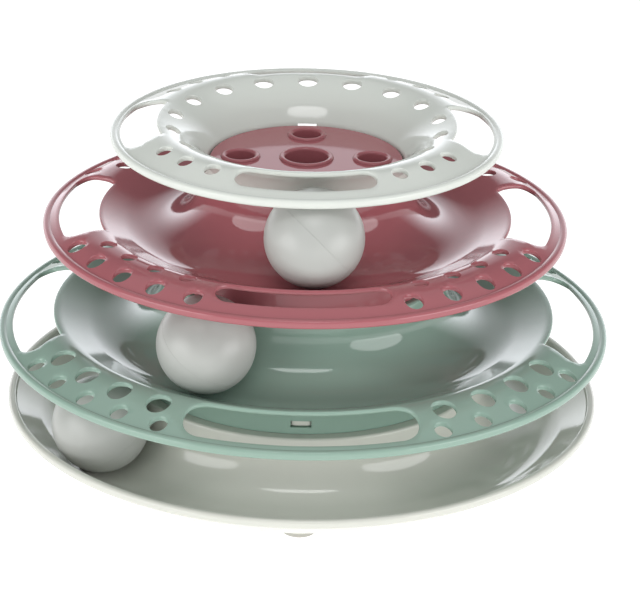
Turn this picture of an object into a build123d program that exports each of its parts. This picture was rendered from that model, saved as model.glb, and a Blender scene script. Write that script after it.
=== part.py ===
from build123d import *
import os
from math import asin, degrees, hypot, radians, sin, tan

os.makedirs("parts", exist_ok=True)

# A stacked ball track toy for cats: a base dish, two track tiers and an open top ring snap
# together on hubs, and one hollow ball rolls round each of the three tracks.
# Millimetres, +Z up, the origin on the floor under the middle of the tower, the front at -Y.

# Common sizes
wall = 2.0
level_pitch = 43.0
snap_gap = 0.3
overrun = 20.0

# Balls
ball_diameter = 39.0
ball_wall = 1.6
seam_lip_height = 1.4
seam_lip_wall = 0.7
running_gap = 0.3
hub_side_gap = 1.2
middle_hub_side_gap = 1.9

# Rounding of a track section where the hub and the outer slope meet its floor
base_hub_foot_round = 9.0
tier_hub_foot_round = 18.0
slope_foot_round = 22.0

# Rim bead that stiffens each outer edge
bead_width = 3.4
bead_height = 3.6
bead_round = 1.5

# Snap joint between a tier's collar and the hub below: two windows, two lugs
window_width = 8.2
window_height = 2.8
window_above_seat = 3.0
lug_bite = 1.3
spigot_edge_round = 1.0
seat_edge_round = 1.2

# Feet
pad_height = 2.0
pad_diameter = 14.0
pad_edge_round = 0.7
boss_height = 1.5
boss_diameter = 16.0
foot_from_hub = 16.7
foot_angles = {"right": 0, "back": 90, "left": 180, "front": 270}

# Base tray
base_ledge = 4.3
base_hub_height = 25.5
base_hub_flare = 1.6
base_spigot_height = 10.5
base_floor_run = 7.0
base_slope_run = 18.9
base_rim_rise = 11.9

# Lower track tier
lower_collar_step = 15.0
lower_ledge = 2.0
lower_hub_height = 26.0
lower_hub_flare = 2.4
lower_spigot_height = 10.5
lower_floor_run = 5.5
lower_slope_run = 16.8
lower_crest_rise = 7.3
lower_crest_run = 6.0
lower_rim_run = 18.0
lower_rim_drop = 7.9

# Middle track tier
middle_collar_step = 14.5
middle_ledge = 0.8
middle_hub_height = 23.5
middle_hub_flare = 5.7
middle_spigot_height = 5.5
middle_floor_run = 5.5
middle_slope_run = 16.6
middle_crest_rise = 7.6
middle_crest_run = 9.2
middle_rim_run = 11.3
middle_rim_drop = 5.9

# Top ring
top_collar_radius = 41.5
top_bowl_foot = 6.0
top_bowl_run = 8.0
top_bowl_rise = 11.5
top_crest_run = 13.5
top_crest_rise = 5.0
top_rim_run = 18.0
top_rim_drop = 6.9
top_window_above_seat = 1.6
top_window_peep = 0.4

# Flange rounding, shared by the tiers
crest_round = 10.0
shelf_round = 22.0
bowl_foot_round = 4.0
bowl_crest_round = 25.0
top_shelf_round = 14.0

# Holes in the flanges: inset from the rim, width, spacing in degrees and count.
# The bowl's holes are ovals, longer along their row.
lower_outer_inset = 6.9
lower_outer_hole = 6.8
lower_inner_inset = 16.0
lower_inner_hole = 9.4
lower_outer_step_deg = 8.9
lower_inner_step_deg = 10.0
middle_outer_inset = 7.7
middle_outer_hole = 7.2
middle_inner_inset = 17.7
middle_inner_hole = 6.2
middle_step_deg = 10.0
top_outer_inset = 13.0
top_outer_hole = 6.0
top_outer_step_deg = 12.0
top_inner_inset = 25.0
top_inner_hole = 5.6
top_inner_hole_length = 8.2
row_middle_deg = 45.0
outer_row_count = 5
inner_row_count = 4
top_outer_count = 3
top_inner_count = 18

# Side openings: strip left at the rim, width, half angles in degrees and corner rounding
lower_ear_strip = 5.7
lower_ear_width = 16.6
lower_ear_inner_deg = 19.5
lower_ear_outer_deg = 22.5
middle_ear_strip = 6.6
middle_ear_width = 16.0
middle_ear_inner_deg = 18.8
middle_ear_outer_deg = 20.2
top_ear_strip = 4.0
top_ear_width = 14.7
top_ear_inner_deg = 18.5
top_ear_outer_deg = 23.0
ear_outer_round = 5.0
ear_inner_round = 1.2

# Front and back slots: strip left at the rim, width and half angle in degrees
lower_slot_strip = 5.2
lower_slot_width = 17.6
lower_slot_half_deg = 23.4
middle_slot_strip = 8.1
middle_slot_width = 12.4
middle_slot_half_deg = 21.0
top_slot_strip = 7.7
top_slot_width = 11.3
top_slot_half_deg = 24.0

# Tube sockets in the middle tier's hub top
socket_depth = 12.0
socket_rim_rise = 1.1
socket_rim_round = 1.0
centre_socket_bore = 17.1
centre_socket_outside = 22.0
side_socket_bore = 11.2
side_socket_outside = 16.0
socket_circle_radius = 26.6
side_socket_count = 4

# Slots lie at the front and back, wide openings at the sides (degrees from +X).
# The snap windows change sides from one joint to the next.
front_back_angles = (90, 270)
side_angles = (0, 180)

# Share of a run that the roundings at its two ends may take together
run_rounding_share = 0.96
# How far a collar's top stands above the floor it joins, as a share of the wall
collar_top_share = 0.25

# Where the balls lie, in degrees about +Z from +X, and how each seam plane is turned
ball_low_deg = 213.6
ball_mid_deg = 241.6
ball_high_deg = 273.3
ball_low_seam_tilt = (30.0, -25.0, 0.0)
ball_mid_seam_tilt = (20.7, 30.3, 0.0)
ball_high_seam_tilt = (-23.1, 43.6, 0.0)

# Worked out from the sizes above
ball_radius = ball_diameter / 2
floor_under = pad_height + boss_height
base_floor = floor_under + wall
lower_floor = base_floor + level_pitch
middle_floor = lower_floor + level_pitch
middle_collar_radius = top_collar_radius + middle_collar_step
lower_collar_radius = middle_collar_radius + lower_collar_step
base_hub_radius = lower_collar_radius + base_ledge
lower_hub_radius = middle_collar_radius + lower_ledge
middle_hub_radius = top_collar_radius + middle_ledge
foot_circle_radius = base_hub_radius + foot_from_hub
base_track_radius = base_hub_radius + ball_radius + hub_side_gap
lower_track_radius = lower_hub_radius + ball_radius + hub_side_gap
middle_track_radius = middle_hub_radius + ball_radius + middle_hub_side_gap
base_slope_foot = base_track_radius + base_floor_run
lower_slope_foot = lower_track_radius + lower_floor_run
middle_slope_foot = middle_track_radius + middle_floor_run
base_rim_radius = base_slope_foot + base_slope_run
lower_crest_radius = lower_slope_foot + lower_slope_run
lower_rim_radius = lower_crest_radius + lower_crest_run + lower_rim_run
middle_crest_radius = middle_slope_foot + middle_slope_run
middle_rim_radius = middle_crest_radius + middle_crest_run + middle_rim_run
top_bowl_radius = top_collar_radius - wall
top_crest_radius = top_bowl_radius + top_bowl_run
top_shelf_radius = top_crest_radius + top_crest_run
top_rim_radius = top_shelf_radius + top_rim_run
base_seat = base_floor + base_hub_height
lower_seat = lower_floor + lower_hub_height
middle_seat = middle_floor + middle_hub_height
lower_sill = base_seat + window_above_seat
middle_sill = lower_seat + window_above_seat
top_sill = middle_seat + top_window_above_seat
top_crest = middle_seat + top_bowl_foot + top_bowl_rise
top_shelf = top_crest + top_crest_rise


def rounded_path(points, radii):
    """Straight runs through the points, with an arc of the given radius at each inner corner."""
    corners = [Vector(*point) for point in points]
    runs = [b - a for a, b in zip(corners, corners[1:])]
    half_angles = [radians(180 - a.get_angle(b)) / 2 for a, b in zip(runs, runs[1:])]
    reaches = [0] + [radius / tan(half) for radius, half in zip(radii, half_angles)] + [0]
    fits = []
    for run, first, second in zip(runs, reaches, reaches[1:]):
        room = run_rounding_share * run.length
        fits.append(room / max(first + second, room))
    edges = []
    start = corners[0]
    for index, half_angle in enumerate(half_angles):
        corner = corners[index + 1]
        reach = reaches[index + 1] * min(fits[index], fits[index + 1])
        if reach == 0:
            edges.append(Line(start, corner))
            start = corner
            continue
        fitted = reach * tan(half_angle)
        back = runs[index].normalized() * -1
        ahead = runs[index + 1].normalized()
        arc_end = corner + ahead * reach
        bisector = (back + ahead).normalized()
        arc_middle = corner + bisector * (fitted / sin(half_angle) - fitted)
        edges.append(Line(start, corner + back * reach))
        edges.append(ThreePointArc(corner + back * reach, arc_middle, arc_end))
        start = arc_end
    edges.append(Line(start, corners[-1]))
    return edges


def under_points(points, thickness):
    """The points of the surface that lies one wall below a path, mitred at its corners."""
    runs = [(b[0] - a[0], b[1] - a[1]) for a, b in zip(points, points[1:])]
    normals = [(run[1] / hypot(*run), -run[0] / hypot(*run)) for run in runs]
    moved = []
    for index, point in enumerate(points):
        first = normals[max(index - 1, 0)]
        second = normals[min(index, len(normals) - 1)]
        spread = 1 + first[0] * second[0] + first[1] * second[1]
        shift_r = (first[0] + second[0]) / spread * thickness
        shift_z = (first[1] + second[1]) / spread * thickness
        moved.append((point[0] + shift_r, point[1] + shift_z))
    return moved


def under_radii(points, radii, thickness):
    """A hollow corner grows by the wall on the under side, a crowned corner shrinks by it."""
    grown = []
    for before, corner, after, radius in zip(points, points[1:], points[2:], radii):
        turn = (corner[0] - before[0]) * (after[1] - corner[1])
        turn -= (corner[1] - before[1]) * (after[0] - corner[0])
        grown.append(radius + thickness if turn > 0 else max(radius - thickness, 0))
    return grown


def shell_section(points, radii):
    """Half section of a moulded shell: the path is its upper face, its wall lies below."""
    lower_points = under_points(points, wall)
    upper = rounded_path(points, radii)
    lower = rounded_path(lower_points, under_radii(points, radii, wall))
    ends = [Line(points[0], lower_points[0]), Line(points[-1], lower_points[-1])]
    return make_face(upper + lower + ends)


def block_section(inner, outer, bottom, top):
    """Rectangular half section between two radii and two heights."""
    return Pos((inner + outer) / 2, (bottom + top) / 2) * Rectangle(outer - inner, top - bottom)


def bead_section(rim_radius, rim_height):
    """Rounded half section of the bead along an outer edge."""
    middle = rim_radius - bead_width / 2
    return Pos(middle, rim_height) * RectangleRounded(bead_width, bead_height, bead_round)


def spun(section):
    """A section turned once round the tower's axis."""
    return revolve(Plane.XZ * section, axis=Axis.Z)


def at_angle(radius, angle, height=0):
    """A place on a circle round the tower's axis, turned to face outwards."""
    return Rot(0, 0, angle) * Pos(radius, 0, height)


def four_quadrants(angles):
    """Angles from the X axis, repeated with mirror symmetry in all four quadrants."""
    return [side + sign * angle for side in side_angles for sign in (1, -1) for angle in angles]


def row_angles(count, step):
    """Angles of a short row of holes about the middle of a quadrant."""
    return [row_middle_deg + step * (index - (count - 1) / 2) for index in range(count)]


def hole_cutters(row_radius, diameter, angles, low, high):
    """Upright cutters for a row of round holes."""
    return oval_cutters(row_radius, diameter, diameter, angles, low, high)


def oval_cutters(row_radius, width, length, angles, low, high):
    """Upright cutters for a row of oval holes, the length lying along the row."""
    outline = Circle(width / 2) if width == length else Ellipse(width / 2, length / 2)
    cutter = extrude(outline, high - low)
    return [at_angle(row_radius, angle, low) * cutter for angle in angles]


def slot_cutters(rim_radius, strip, width, half_deg, low, high):
    """Curved slots with round ends at the front and back of a flange."""
    middle_radius = rim_radius - strip - width / 2
    half_span = half_deg - degrees(asin(width / 2 / middle_radius))
    cutters = []
    for side in front_back_angles:
        line = CenterArc((0, 0), middle_radius, side - half_span, 2 * half_span)
        cutters.append(Pos(0, 0, low) * extrude(SlotArc(line, width), high - low))
    return cutters


def ear_cutters(rim_radius, strip, width, inner_deg, outer_deg, low, high):
    """Wide side openings: flared ring sectors at the left and right with rounded corners."""
    outer = rim_radius - strip
    inner = outer - width
    cutters = []
    for side in side_angles:
        outer_arc = CenterArc((0, 0), outer, side - outer_deg, 2 * outer_deg)
        inner_arc = CenterArc((0, 0), inner, side - inner_deg, 2 * inner_deg)
        ends = [Line(outer_arc @ end, inner_arc @ end) for end in (0, 1)]
        sector = make_face([outer_arc, inner_arc] + ends)
        corners = sector.vertices().sort_by(lambda v: hypot(v.X, v.Y))
        sector = fillet(corners[2:], ear_outer_round)
        corners = sector.vertices().sort_by(lambda v: hypot(v.X, v.Y))
        sector = fillet(corners[:2], ear_inner_round)
        cutters.append(Pos(0, 0, low) * extrude(sector, high - low))
    return cutters


def window_cutters(collar_radius, sill, angles, extra_height=0):
    """Snap windows through a collar, from the height of their sill up."""
    height = window_height + extra_height
    window = Box(overrun, window_width, height)
    return [at_angle(collar_radius, side, sill + height / 2) * window for side in angles]


def snap_lugs(collar_radius, sill, angles):
    """Lugs on a hub's spigot that spring into the windows of the collar above."""
    spigot_radius = collar_radius - wall - snap_gap
    depth = wall + lug_bite
    middle_radius = spigot_radius + lug_bite - depth / 2
    height = window_height - 2 * snap_gap
    width = window_width - 2 * snap_gap
    lug = Box(depth, width, height)
    return [at_angle(middle_radius, side, sill + window_height / 2) * lug for side in angles]


def hub_points(collar_radius, hub_radius, flare, seat, spigot_height, floor):
    """Upper face of a hub: closed top, spigot for the collar above, seat ledge and flank."""
    spigot_radius = collar_radius - wall - snap_gap
    return [
        (0, seat + spigot_height),
        (spigot_radius, seat + spigot_height),
        (spigot_radius, seat),
        (hub_radius, seat),
        (hub_radius + flare, floor),
    ]


def hub_radii(foot_round):
    """Rounding of a hub's corners, from its closed top down to its foot."""
    return [spigot_edge_round, 0, seat_edge_round, foot_round]


def made_base_tray():
    """Base dish with its hub, rim bead and four foot bosses."""
    rim_height = base_floor + base_rim_rise
    points = hub_points(
        lower_collar_radius, base_hub_radius, base_hub_flare, base_seat, base_spigot_height, base_floor
    )
    points.append((base_slope_foot, base_floor))
    points.append((base_rim_radius - bead_width / 2, rim_height + wall / 2))
    section = shell_section(points, hub_radii(base_hub_foot_round) + [slope_foot_round])
    tray = spun(section + bead_section(base_rim_radius, rim_height))
    boss_top = floor_under + wall / 2
    boss = Cylinder(boss_diameter / 2, boss_top - pad_height)
    for angle in foot_angles.values():
        tray += at_angle(foot_circle_radius, angle, (boss_top + pad_height) / 2) * boss
    return tray + snap_lugs(lower_collar_radius, lower_sill, front_back_angles)


def made_lower_track():
    """Green tier: collar, track, hub and a domed flange with holes, slots and side openings."""
    crest = lower_floor + lower_crest_rise
    rim_height = crest - lower_rim_drop
    points = hub_points(
        middle_collar_radius, lower_hub_radius, lower_hub_flare, lower_seat, lower_spigot_height, lower_floor
    )
    points.append((lower_slope_foot, lower_floor))
    points.append((lower_crest_radius, crest))
    points.append((lower_crest_radius + lower_crest_run, crest))
    points.append((lower_rim_radius - bead_width / 2, rim_height + wall / 2))
    radii = hub_radii(tier_hub_foot_round) + [slope_foot_round, crest_round, shelf_round]
    section = shell_section(points, radii)
    section += bead_section(lower_rim_radius, rim_height)
    collar_top = lower_floor + collar_top_share * wall
    section += block_section(lower_collar_radius - wall, lower_collar_radius, base_seat, collar_top)
    low = rim_height - overrun
    high = crest + overrun
    cutters = slot_cutters(
        lower_rim_radius, lower_slot_strip, lower_slot_width, lower_slot_half_deg, low, high
    )
    cutters += ear_cutters(
        lower_rim_radius, lower_ear_strip, lower_ear_width,
        lower_ear_inner_deg, lower_ear_outer_deg, low, high,
    )
    outer_angles = four_quadrants(row_angles(outer_row_count, lower_outer_step_deg))
    inner_angles = four_quadrants(row_angles(inner_row_count, lower_inner_step_deg))
    cutters += hole_cutters(lower_rim_radius - lower_outer_inset, lower_outer_hole, outer_angles, low, high)
    cutters += hole_cutters(lower_rim_radius - lower_inner_inset, lower_inner_hole, inner_angles, low, high)
    cutters += window_cutters(lower_collar_radius, lower_sill, front_back_angles)
    return spun(section) - cutters + snap_lugs(middle_collar_radius, middle_sill, side_angles)


def made_middle_track():
    """Red tier: like the lower one, with five tube sockets in its hub top."""
    crest = middle_floor + middle_crest_rise
    rim_height = crest - middle_rim_drop
    points = hub_points(
        top_collar_radius, middle_hub_radius, middle_hub_flare, middle_seat, middle_spigot_height, middle_floor
    )
    points.append((middle_slope_foot, middle_floor))
    points.append((middle_crest_radius, crest))
    points.append((middle_crest_radius + middle_crest_run, crest))
    points.append((middle_rim_radius - bead_width / 2, rim_height + wall / 2))
    radii = hub_radii(tier_hub_foot_round) + [slope_foot_round, crest_round, shelf_round]
    section = shell_section(points, radii)
    section += bead_section(middle_rim_radius, rim_height)
    collar_top = middle_floor + collar_top_share * wall
    section += block_section(middle_collar_radius - wall, middle_collar_radius, lower_seat, collar_top)
    low = rim_height - overrun
    high = crest + overrun
    cutters = slot_cutters(
        middle_rim_radius, middle_slot_strip, middle_slot_width, middle_slot_half_deg, low, high
    )
    cutters += ear_cutters(
        middle_rim_radius, middle_ear_strip, middle_ear_width,
        middle_ear_inner_deg, middle_ear_outer_deg, low, high,
    )
    outer_angles = four_quadrants(row_angles(outer_row_count, middle_step_deg))
    inner_angles = four_quadrants(row_angles(inner_row_count, middle_step_deg))
    cutters += hole_cutters(middle_rim_radius - middle_outer_inset, middle_outer_hole, outer_angles, low, high)
    cutters += hole_cutters(middle_rim_radius - middle_inner_inset, middle_inner_hole, inner_angles, low, high)
    cutters += window_cutters(middle_collar_radius, middle_sill, side_angles)
    tier = spun(section) - cutters + snap_lugs(top_collar_radius, top_sill, front_back_angles)
    return with_sockets(tier)


def with_sockets(tier):
    """Tube sockets with rolled rims: one in the middle, the others on a circle round it."""
    top = middle_seat + middle_spigot_height
    places = [(Pos(0, 0, 0), centre_socket_bore, centre_socket_outside)]
    for index in range(side_socket_count):
        place = at_angle(socket_circle_radius, index * 360 / side_socket_count)
        places.append((place, side_socket_bore, side_socket_outside))
    length = socket_depth + socket_rim_rise
    middle = top + socket_rim_rise - length / 2
    for place, bore, outside in places:
        tube = Cylinder(outside / 2, length)
        tube = fillet(tube.edges().sort_by(Axis.Z)[-1], socket_rim_round)
        tier += place * Pos(0, 0, middle) * tube
        tier -= place * Pos(0, 0, middle) * Cylinder(bore / 2, length + overrun)
    return tier


def made_top_ring():
    """Pale open ring: collar on the red hub, bowl wall, crest and a sloping flange."""
    rim_height = top_shelf - top_rim_drop
    points = [
        (top_bowl_radius, middle_seat),
        (top_bowl_radius, middle_seat + top_bowl_foot),
        (top_crest_radius, top_crest),
        (top_shelf_radius, top_shelf),
        (top_rim_radius - bead_width / 2, rim_height + wall / 2),
    ]
    section = shell_section(points, [bowl_foot_round, bowl_crest_round, top_shelf_round])
    section += bead_section(top_rim_radius, rim_height)
    low = rim_height - bead_height
    high = top_shelf + overrun
    cutters = slot_cutters(top_rim_radius, top_slot_strip, top_slot_width, top_slot_half_deg, low, high)
    cutters += ear_cutters(
        top_rim_radius, top_ear_strip, top_ear_width, top_ear_inner_deg, top_ear_outer_deg, low, high
    )
    outer_angles = four_quadrants(row_angles(top_outer_count, top_outer_step_deg))
    inner_angles = [index * 360 / top_inner_count + 90 for index in range(top_inner_count)]
    cutters += hole_cutters(top_rim_radius - top_outer_inset, top_outer_hole, outer_angles, low, high)
    bowl_row = top_rim_radius - top_inner_inset
    cutters += oval_cutters(bowl_row, top_inner_hole, top_inner_hole_length, inner_angles, low, high)
    peep = middle_spigot_height + top_window_peep - top_window_above_seat - window_height
    cutters += window_cutters(top_collar_radius, top_sill, front_back_angles, peep)
    return spun(section) - cutters


def made_ball_half(with_lip):
    """Half of a hollow ball, rim down on the seam plane, with a lap joint inside the wall."""
    inner_radius = ball_radius - ball_wall
    lip_outside = inner_radius + seam_lip_wall
    shell = Sphere(ball_radius) - Sphere(inner_radius)
    half = split(shell, bisect_by=Plane.XY)
    lip = Cylinder(lip_outside, 2 * seam_lip_height) - Sphere(inner_radius)
    if with_lip:
        return half + split(lip, bisect_by=Plane.XY, keep=Keep.BOTTOM)
    return half - Cylinder(lip_outside, 2 * seam_lip_height)


def place_of_ball(track_radius, floor, angle):
    """Where a ball's middle rests on its track."""
    return at_angle(track_radius, angle, floor + running_gap + ball_radius)


def save(shape, node):
    """Write one node and print its volume and size."""
    size = shape.bounding_box().size
    print(f"{node}: {shape.volume / 1000:.2f} cm3, {size.X:.1f} x {size.Y:.1f} x {size.Z:.1f} mm")
    export_step(shape, f"parts/{node}.step")


save(made_base_tray(), "base_tray")
save(made_lower_track(), "lower_track")
save(made_middle_track(), "middle_track")
save(made_top_ring(), "top_ring")

for side, angle in foot_angles.items():
    pad = Cylinder(pad_diameter / 2, pad_height)
    pad = fillet(pad.edges().sort_by(Axis.Z)[0], pad_edge_round)
    save(at_angle(foot_circle_radius, angle, pad_height / 2) * pad, f"foot_pad_{side}")

balls = {
    "low": (base_track_radius, base_floor, ball_low_deg, ball_low_seam_tilt),
    "mid": (lower_track_radius, lower_floor, ball_mid_deg, ball_mid_seam_tilt),
    "high": (middle_track_radius, middle_floor, ball_high_deg, ball_high_seam_tilt),
}
for level, (track_radius, floor, angle, tilt) in balls.items():
    seat = Pos(place_of_ball(track_radius, floor, angle).position) * Rot(*tilt)
    save(seat * made_ball_half(True), f"ball_{level}_half_a")
    save(seat * Rot(180, 0, 0) * made_ball_half(False), f"ball_{level}_half_b")
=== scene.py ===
# %% [markdown]
# # A stacked ball track toy for cats
# Four glossy mouldings snap together into a tower: a base dish, a green tier, a red tier and a pale
# top ring. One hollow ball rolls round each of the three tracks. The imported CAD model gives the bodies,
# the joints and the boxes, and this lesson dresses it with smooth skins, plastics, light and a camera.

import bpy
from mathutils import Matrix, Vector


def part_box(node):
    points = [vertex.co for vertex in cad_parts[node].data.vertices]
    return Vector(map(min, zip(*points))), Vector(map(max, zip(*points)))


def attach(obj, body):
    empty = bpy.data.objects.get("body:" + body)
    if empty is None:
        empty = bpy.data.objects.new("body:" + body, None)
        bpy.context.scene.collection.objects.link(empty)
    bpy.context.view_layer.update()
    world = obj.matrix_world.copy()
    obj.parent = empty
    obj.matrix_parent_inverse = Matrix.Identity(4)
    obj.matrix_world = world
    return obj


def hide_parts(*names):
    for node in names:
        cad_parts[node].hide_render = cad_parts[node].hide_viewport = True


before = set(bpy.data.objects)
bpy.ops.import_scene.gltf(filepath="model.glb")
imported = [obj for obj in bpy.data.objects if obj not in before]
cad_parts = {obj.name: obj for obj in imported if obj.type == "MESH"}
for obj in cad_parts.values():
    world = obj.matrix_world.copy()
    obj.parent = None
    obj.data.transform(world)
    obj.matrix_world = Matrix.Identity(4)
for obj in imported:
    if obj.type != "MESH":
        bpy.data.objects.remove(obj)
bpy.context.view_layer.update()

import bpy
import numpy as np
from mathutils import Matrix, Vector, geometry

# %% [markdown]
# ## Lines for the sections
# Each moulding is a thin wall turned round the tower's axis, so a half section says almost all about
# it. A section is written as a few corners in millimetres (radius, height) with a rounding for each
# corner. A Bevel modifier could round them, but an arc worked out here has exactly the real radius,
# and its points can be packed closely where light will show every flat.

# %% Rounded lines
run_share = 0.96
large_arc, large_arc_step, small_arc_step = 5.0, 4.0, 11.0


def rounded(points, radii, turn_step=None):
    """A line through the points with an arc at each inner corner, finer where the arc is large.

    An arc of radius R at a corner that turns by t starts R tan(t / 2) before it. Two arcs on one run
    shrink together until they fit. The arc's centre lies on the corner's bisector, R / cos(t / 2)
    away, and its points are the centre plus a spoke that sweeps from one tangent point to the other.
    """
    points = np.asarray(points, float)
    runs = np.diff(points, axis=0)
    lengths = np.linalg.norm(runs, axis=1)
    ways = runs / lengths[:, None]
    turns = np.arccos(np.clip((ways[:-1] * ways[1:]).sum(1), -1, 1))
    reaches = np.concatenate([[0], np.asarray(radii, float) * np.tan(turns / 2), [0]])
    room = run_share * lengths
    fits = room / np.maximum(reaches[:-1] + reaches[1:], room)
    reaches = reaches[1:-1] * np.minimum(fits[:-1], fits[1:])
    pieces = [points[:1]]
    for corner, back, ahead, turn, reach in zip(points[1:-1], -ways[:-1], ways[1:], turns, reaches):
        fitted = reach / np.tan(turn / 2)
        bisector = (back + ahead) / np.linalg.norm(back + ahead)
        centre = corner + bisector * fitted / np.cos(turn / 2)
        first, last = corner + back * reach - centre, corner + ahead * reach - centre
        step = turn_step or (large_arc_step if fitted > large_arc else small_arc_step)
        steps = max(int(np.ceil(np.degrees(turn) / step)), 2)
        share = np.linspace(0, 1, steps + 1)[:, None]
        spokes = (np.sin((1 - share) * turn) * first + np.sin(share * turn) * last) / np.sin(turn)
        pieces.append(centre + spokes)
    return np.vstack(pieces + [points[-1:]])


def spaced(line, step):
    """The same line with points added evenly, so that no run is longer than the step."""
    slack = 1e-9
    runs = np.linalg.norm(np.diff(line, axis=0), axis=1)
    cuts = np.maximum(np.ceil(runs / step - slack).astype(int), 1)
    start = np.repeat(np.arange(len(cuts)), cuts)
    share = (np.arange(cuts.sum()) - np.repeat(np.cumsum(cuts) - cuts, cuts)) / cuts[start]
    points = line[start] + share[:, None] * (line[start + 1] - line[start])
    return np.vstack([points, line[-1:]])


def underside(points, thickness):
    """The corners of the lower face: each run moves one wall to its right, and runs meet in mitres."""
    points = np.asarray(points, float)
    runs = np.diff(points, axis=0)
    normals = np.stack([runs[:, 1], -runs[:, 0]], 1) / np.linalg.norm(runs, axis=1)[:, None]
    first, second = np.vstack([normals[:1], normals]), np.vstack([normals, normals[-1:]])
    spread = 1 + (first * second).sum(1)
    return points + (first + second) / spread[:, None] * thickness


def under_radii(points, radii, thickness, least=0.2):
    """A hollow corner gains the wall on its lower face, and a crowned corner loses it."""
    runs = np.diff(np.asarray(points, float), axis=0)
    turns = runs[:-1, 0] * runs[1:, 1] - runs[:-1, 1] * runs[1:, 0]
    radii = np.asarray(radii, float)
    return np.where(turns > 0, radii + thickness, np.maximum(radii - thickness, least))


# %% [markdown]
# ## Skins
# A turned skin is a grid: one parameter runs along the section and the other round the axis. Blender's
# Spin or Screw would turn a section too, but a grid in numpy keeps each row's number, so that windows
# and flanges can be joined to it point by point.

# %% Grids and welding
mm = 0.001
weld_size, weld_shift = 0.001, 0.317


def turned(line, angles):
    """x = r cos(t), y = r sin(t), z = height, for each line point and each angle."""
    radius, height = line.T
    across = np.outer(np.cos(angles), radius)
    deep = np.outer(np.sin(angles), radius)
    return np.stack([across, deep, np.broadcast_to(height, across.shape)], -1)


def quads(count, length, flip=False):
    """Faces of a grid that closes on itself in its first direction, seen from the left of its line."""
    row, column = np.meshgrid(np.arange(count), np.arange(length - 1), indexing="ij")
    after = (row + 1) % count
    corners = [row * length + column, row * length + column + 1]
    corners += [after * length + column + 1, after * length + column]
    faces = np.stack(corners, -1).reshape(-1, 4)
    return faces[:, ::-1] if flip else faces


def welded(sheets):
    """One vertex list and face list from many sheets: points that share a cell of weld_size become one.

    A point's cell is the whole part of its place divided by weld_size. The shift keeps round sizes
    away from the cells' borders. Corners that fall together turn a four-sided face into a triangle.
    """
    points = np.vstack([np.reshape(sheet[0], (-1, 3)) for sheet in sheets])
    starts = np.cumsum([0] + [np.reshape(sheet[0], (-1, 3)).shape[0] for sheet in sheets])
    keys = np.floor(points / weld_size + weld_shift).astype(np.int64)
    _, first, inverse = np.unique(keys, axis=0, return_index=True, return_inverse=True)
    inverse = inverse.reshape(-1)
    numbered = [inverse[sheet[1] + start] for sheet, start in zip(sheets, starts)]
    fours = np.vstack([np.zeros((0, 4), int)] + [faces for faces in numbered if faces.shape[1] == 4])
    threes = [faces for faces in numbered if faces.shape[1] == 3]
    same = fours == np.roll(fours, -1, axis=1)
    single = same.sum(1) == 1
    keep = ~same[single]
    threes.append(fours[single][keep].reshape(-1, 3))
    fours, threes = fours[~same.any(1)], np.vstack(threes)
    used = np.unique(np.concatenate([fours.ravel(), threes.ravel()]))
    renumber = np.zeros(len(first), int)
    renumber[used] = np.arange(len(used))
    return points[first][used], renumber[fours], renumber[threes]


def made_piece(name, sheets, sharp_deg=38.0):
    """A mesh object from sheets in millimetres, smooth but for edges sharper than the given angle."""
    points, fours, threes = welded(sheets)
    mesh = bpy.data.meshes.new(name)
    mesh.vertices.add(len(points))
    mesh.vertices.foreach_set("co", (points * mm).astype(np.float32).ravel())
    corners = np.concatenate([fours.ravel(), threes.ravel()]).astype(np.int32)
    sizes = np.concatenate([np.full(len(fours), 4), np.full(len(threes), 3)])
    mesh.loops.add(len(corners))
    mesh.loops.foreach_set("vertex_index", corners)
    mesh.polygons.add(len(sizes))
    mesh.polygons.foreach_set("loop_start", (np.cumsum(sizes) - sizes).astype(np.int32))
    mesh.update(calc_edges=True)
    mesh.validate()
    mesh.shade_smooth()
    mesh.set_sharp_from_angle(angle=np.radians(sharp_deg))
    piece = bpy.data.objects.new(name, mesh)
    bpy.context.scene.collection.objects.link(piece)
    used = np.zeros(len(mesh.edges), np.int32)
    sides = np.zeros(len(mesh.loops), np.int32)
    mesh.loops.foreach_get("edge_index", sides)
    np.add.at(used, sides, 1)
    triangles = len(threes) + 2 * len(fours)
    print(f"{name}: {triangles} triangles, {int((used != 2).sum())} open edges")
    return piece


# %% [markdown]
# ## Openings
# Holes, slots and side openings all go straight down through a flange, so each is an outline seen from
# above plus the direction that points from the edge into the plastic.

# %% Outlines of the openings
edge_step, corner_step = 1.1, 8.0
hole_points_per_mm, least_hole_points, cap_points = 5, 30, 24
ear_corner, ear_foot_corner = 5.0, 1.6


def round_hole(row_radius, angle, diameter, length=None):
    """A circle or oval on a row: half its width times cos(s) outward, half its length times sin(s) along."""
    half = np.array([diameter, length or diameter]) / 2
    count = max(int(half.sum() * hole_points_per_mm), least_hole_points)
    spokes = np.linspace(0, 2 * np.pi, count, endpoint=False)
    wave = np.stack([np.cos(spokes), np.sin(spokes)], 1)
    outward = wave / half
    outward /= np.linalg.norm(outward, axis=1)[:, None]
    turn = np.radians(angle)
    axes = np.array([[np.cos(turn), np.sin(turn)], [-np.sin(turn), np.cos(turn)]])
    return row_radius * axes[0] + wave * half @ axes, outward @ axes


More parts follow.
